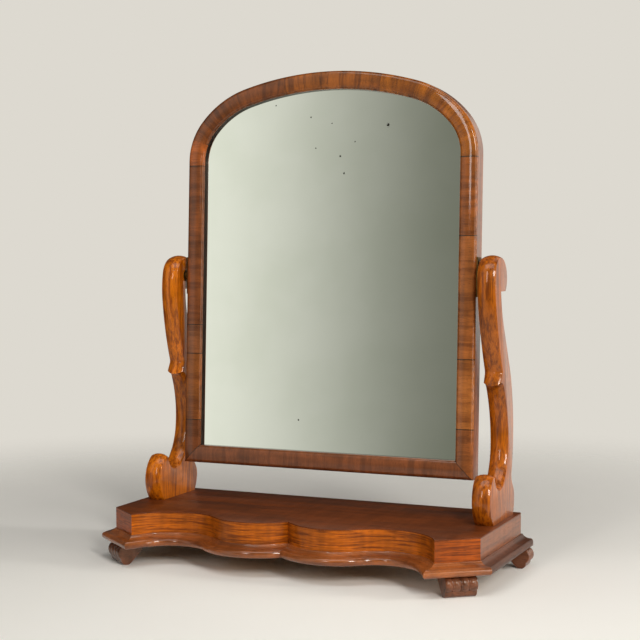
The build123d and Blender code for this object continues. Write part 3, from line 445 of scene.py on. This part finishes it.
def finish_the_frame():
    """Each leaf of the cross-banding has a colour and a figure of its own."""
    def leaf(name, ground, streak, shift, **more):
        return wood(name, ground, streak, LEAF_PORE, width=0.010, ripple=0.3, gloss=0.07,
                    leaning=True, shift=shift, **more)
    low_left, high_left = LEFT_JOINTS[:2], LEFT_JOINTS[1:]
    low_right, high_right = RIGHT_JOINTS[:2], RIGHT_JOINTS[2:]
    # The frame's core carries painted shade on its inner lip, on the faces that look towards the
    # glass.
    core = wood("frame_mahogany", (140, 84, 56), (112, 64, 42), (62, 30, 18), grain="z",
                polish=0.7, gloss=0.2, leaning=True, painted_lip_shade=True)
    core_arch = wood("arch_mahogany", (136, 82, 54), (110, 62, 40), (62, 30, 18), grain="z",
                     polish=0.7, gloss=0.2, leaning=True, arch=CORE_TURN, painted_lip_shade=True)
    back = wood("backboard_pine", (150, 104, 62), (120, 78, 44), (80, 50, 28), grain="z",
                width=0.014, polish=0.0, rough=0.7, leaning=True)
    return {
        "arch_veneer_crown": leaf("leaf_crown", (144, 78, 26), (88, 42, 15), 0.2,
                                  arch=CROWN_TURN),
        "arch_veneer_left": leaf("leaf_arch_left", (122, 64, 28), (84, 42, 20), 0.9,
                                 arch=LEFT_HAUNCH_TURN),
        "arch_veneer_right": leaf("leaf_arch_right", (150, 82, 18), (108, 54, 14), 1.6,
                                  arch=RIGHT_HAUNCH_TURN, joints=high_right),
        "stile_veneer_left_upper": leaf("leaf_left_upper", (126, 66, 30), (92, 46, 22), 2.3,
                                        joints=high_left + (PATCH_FROM,), patch_from=PATCH_FROM),
        "stile_veneer_left_middle": leaf("leaf_left_middle", (120, 68, 36), (90, 48, 26), 3.1,
                                         joints=high_left),
        "stile_veneer_left_lower": leaf("leaf_left_lower", (138, 76, 30), (108, 54, 20), 3.8,
                                        joints=low_left),
        "stile_veneer_left_foot": leaf("leaf_left_foot", (112, 58, 28), (88, 44, 20), 4.4,
                                       joints=low_left, mitred=True),
        "stile_veneer_right_upper": leaf("leaf_right_upper", (136, 72, 26), (98, 48, 18), 5.2,
                                         joints=high_right),
        "stile_veneer_right_middle": leaf("leaf_right_middle", (150, 84, 36), (112, 58, 24), 6.1,
                                          joints=RIGHT_JOINTS[1:3]),
        "stile_veneer_right_lower": leaf("leaf_right_lower", (158, 92, 40), (126, 68, 28), 6.8,
                                         joints=low_right),
        "stile_veneer_right_foot": leaf("leaf_right_foot", (134, 74, 34), (106, 56, 26), 7.7,
                                        joints=low_right, mitred=True),
        "bottom_rail_veneer": leaf("leaf_bottom", (124, 66, 34), (96, 50, 26), 8.5, grain="z",
                                   mitred=True),
        "frame_stile_left": core, "frame_stile_right": core, "frame_bottom_rail": core,
        "frame_arch_left": core_arch, "frame_arch_right": core_arch,
        "backboard": back, "glazing_blocks": back, "mirror_glass": silvered_glass()}


def finish_the_metal():
    """Pivots of old brass, steel screws and pins."""
    brass = metal("old_brass", (104, 78, 40), 0.42)
    steel = metal("screw_steel", (150, 148, 144), 0.35)
    return {"pivot_plate_left": brass, "pivot_plate_right": brass,
            "pivot_socket_left": brass, "pivot_socket_right": brass,
            "plate_screws": steel, "support_screws": steel, "foot_screws": steel,
            "backboard_pins": steel}


def lay_on(finishes):
    """Each solid gets the finish under its name."""
    for node, finish in finishes.items():
        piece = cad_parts[node]
        for slot in piece.material_slots:
            slot.material = finish


# ------------------------------------------------------------------ eased arrises
def eased(node, body, width):
    """The piece again with its sharp arrises taken off, as a cabinet maker leaves them."""
    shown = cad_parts[node]
    piece = shown.copy()
    piece.data = shown.data.copy()
    piece.name = node + "_eased"
    bpy.context.scene.collection.objects.link(piece)
    bpy.ops.object.select_all(action="DESELECT")
    piece.select_set(True)
    bpy.context.view_layer.objects.active = piece
    bpy.ops.object.mode_set(mode="EDIT")
    bpy.ops.mesh.select_all(action="SELECT")
    bpy.ops.mesh.remove_doubles(threshold=MERGE)
    bpy.ops.mesh.dissolve_limited(angle_limit=math.radians(FLAT_WITHIN))
    bpy.ops.object.mode_set(mode="OBJECT")
    bevel = piece.modifiers.new("arris", "BEVEL")
    bevel.width = width
    bevel.segments = ARRIS_STEPS
    bevel.limit_method = "ANGLE"
    bevel.angle_limit = math.radians(SHARP_FROM)
    bpy.ops.object.modifier_apply(modifier=bevel.name)
    bpy.ops.object.shade_smooth_by_angle(angle=math.radians(SMOOTH_WITHIN))
    piece.select_set(False)
    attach(piece, body)
    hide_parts(node)


def ease_the_arrises():
    for side in ("_left", "_right"):
        eased("support" + side, "platform", SUPPORT_ARRIS)
    eased("top_veneer", "platform", TOP_ARRIS)


# ----------------------------------------------------------------- floor and light
def lay_floor():
    """A pale floor that fades into the room before its far edge."""
    bpy.ops.mesh.primitive_plane_add(size=FLOOR_SIZE, location=(0.0, FLOOR_BACK, 0.0))
    floor = bpy.context.object
    bpy.ops.object.transform_apply(location=True)
    floor.name = "floor"
    finish, tree, shader = new_finish("pale_floor")
    place = put(tree, "TexCoord").outputs["Object"]
    mottle = stretched(tree, place, (5.0, 5.0, 5.0), 3.0)
    tree.links.new(blend(tree, mottle, tint(252, 249, 242), tint(249, 246, 238)),
                   shader.inputs["Base Color"])
    away = put(tree, "VectorMath", {0: place}, operation="LENGTH").outputs["Value"]
    tree.links.new(ramp(tree, away, FADE_FROM, FADE_TO, 1.0, 0.0), shader.inputs["Alpha"])
    shader.inputs["Roughness"].default_value = 0.6
    floor.data.materials.append(finish)


def lamp(name, place, wide, high, power, colour):
    """A soft lamp that looks at the middle of the piece."""
    light = bpy.data.lights.new(name, "AREA")
    light.shape = "RECTANGLE"
    light.size = wide
    light.size_y = high
    light.energy = power
    light.color = colour
    holder = bpy.data.objects.new(name, light)
    bpy.context.scene.collection.objects.link(holder)
    holder.location = place
    holder.rotation_euler = (Vector(LIT_MIDDLE) - Vector(place)).to_track_quat("-Z", "Y").to_euler()


def light_room():
    """A dim room with windows; gloss and glass see its bright and its dark side."""
    world = bpy.data.worlds.new("room")
    bpy.context.scene.world = world
    world.use_nodes = True
    tree = world.node_tree
    tree.nodes.clear()
    way = put(tree, "TexCoord").outputs["Generated"]
    parts = put(tree, "SeparateXYZ", {0: way}).outputs
    toward = sums(tree, "ARCTAN2", parts["X"], sums(tree, "MULTIPLY", parts["Y"], -1.0))
    room = tint(*BRIGHT_WALL)
    for (start, full), colour in ROOM_PARTS:
        share = ramp(tree, toward, math.radians(start), math.radians(full))
        room = blend(tree, share, room, tint(*colour))
    paths = put(tree, "LightPath").outputs
    plain = blend(tree, paths["Is Camera Ray"], tint(*ROOM_GLOW), tint(*ROOM_WALL))
    seen = blend(tree, paths["Is Glossy Ray"], plain, room)
    shine = put(tree, "Background", {"Color": seen, "Strength": 1.0})
    tree.links.new(shine.outputs[0], put(tree, "OutputWorld").inputs[0])
    for name, settings in LAMPS.items():
        lamp(name, *settings)


stand_camera()
lay_floor()
light_room()
lay_on(finish_the_platform())
lay_on(finish_the_supports())
lay_on(finish_the_frame())
lay_on(finish_the_metal())
ease_the_arrises()
